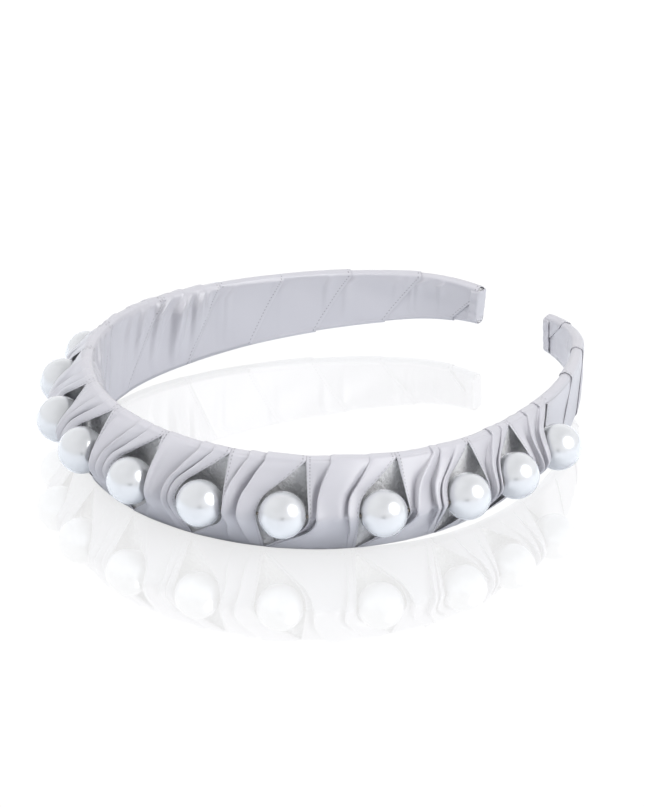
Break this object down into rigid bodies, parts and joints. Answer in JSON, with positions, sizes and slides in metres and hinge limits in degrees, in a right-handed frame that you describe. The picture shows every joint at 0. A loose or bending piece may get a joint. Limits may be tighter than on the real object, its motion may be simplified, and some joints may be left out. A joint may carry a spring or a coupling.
{
  "type": "headband",
  "caption": "Open hair band: a satin-wound plastic hoop that widens at the crown, with a string of drilled pearls held along its outside by the ribbon.",
  "frame": {"origin": "centre of the bottom of the band's box: the band lies on its edge, midway between its two sides and between the crown's pearl and the tips", "axes": "+Z across the width of the band, +Y from the crown to the open end, +X across the head"},
  "size_m": [0.14, 0.1516, 0.0254],
  "materials": {
    "hoop_core": "moulded",
    "satin_lining": "satin",
    "wound_ribbon": "satin",
    "string": "twisted",
    "pearl": "pearl coated"
  },
  "bodies": {
    "band": {"hoop_core": "hoop_core", "satin_lining": "satin_lining", "wound_ribbon": "wound_ribbon", "pearl_string": "string", "string_knot_left": "string", "string_knot_right": "string", "tip_fold_left": "wound_ribbon", "tip_fold_right": "wound_ribbon"},
    "pearl_01": {"pearl_01": "pearl"},
    "pearl_02": {"pearl_02": "pearl"},
    "pearl_03": {"pearl_03": "pearl"},
    "pearl_04": {"pearl_04": "pearl"},
    "pearl_05": {"pearl_05": "pearl"},
    "pearl_06": {"pearl_06": "pearl"},
    "pearl_07": {"pearl_07": "pearl"},
    "pearl_08": {"pearl_08": "pearl"},
    "pearl_09": {"pearl_09": "pearl"},
    "pearl_10": {"pearl_10": "pearl"},
    "pearl_11": {"pearl_11": "pearl"},
    "pearl_12": {"pearl_12": "pearl"},
    "pearl_13": {"pearl_13": "pearl"}
  },
  "joints": [
    {"name": "pearl_01_turn", "type": "hinge", "parent": "band", "child": "pearl_01", "pos_m": [-0.06032, 0.02254, 0.0127], "axis": [-0.2639, -0.9646, 0], "continuous": true},
    {"name": "pearl_02_turn", "type": "hinge", "parent": "band", "child": "pearl_02", "pos_m": [-0.06403, 0.00233, 0.0127], "axis": [-0.0961, -0.9954, 0], "continuous": true},
    {"name": "pearl_03_turn", "type": "hinge", "parent": "band", "child": "pearl_03", "pos_m": [-0.06149, -0.02463, 0.0127], "axis": [0.2995, -0.9541, 0], "continuous": true},
    {"name": "pearl_04_turn", "type": "hinge", "parent": "band", "child": "pearl_04", "pos_m": [-0.05355, -0.0412, 0.0127], "axis": [0.5564, -0.8309, 0], "continuous": true},
    {"name": "pearl_05_turn", "type": "hinge", "parent": "band", "child": "pearl_05", "pos_m": [-0.03769, -0.05762, 0.0127], "axis": [0.8112, -0.5847, 0], "continuous": true},
    {"name": "pearl_06_turn", "type": "hinge", "parent": "band", "child": "pearl_06", "pos_m": [-0.02087, -0.06631, 0.0127], "axis": [0.9461, -0.3239, 0], "continuous": true},
    {"name": "pearl_07_turn", "type": "hinge", "parent": "band", "child": "pearl_07", "pos_m": [0, -0.06978, 0.0127], "axis": [1, 0, 0], "continuous": true},
    {"name": "pearl_08_turn", "type": "hinge", "parent": "band", "child": "pearl_08", "pos_m": [0.02087, -0.06631, 0.0127], "axis": [0.9461, 0.3239, 0], "continuous": true},
    {"name": "pearl_09_turn", "type": "hinge", "parent": "band", "child": "pearl_09", "pos_m": [0.0395, -0.05626, 0.0127], "axis": [0.7902, 0.6128, 0], "continuous": true},
    {"name": "pearl_10_turn", "type": "hinge", "parent": "band", "child": "pearl_10", "pos_m": [0.05593, -0.03735, 0.0127], "axis": [0.4968, 0.8679, 0], "continuous": true},
    {"name": "pearl_11_turn", "type": "hinge", "parent": "band", "child": "pearl_11", "pos_m": [0.06368, -0.01528, 0.0127], "axis": [0.1544, 0.988, 0], "continuous": true},
    {"name": "pearl_12_turn", "type": "hinge", "parent": "band", "child": "pearl_12", "pos_m": [0.06403, 0.00233, 0.0127], "axis": [-0.0961, 0.9954, 0], "continuous": true},
    {"name": "pearl_13_turn", "type": "hinge", "parent": "band", "child": "pearl_13", "pos_m": [0.06032, 0.02254, 0.0127], "axis": [-0.2639, 0.9646, 0], "continuous": true}
  ]
}
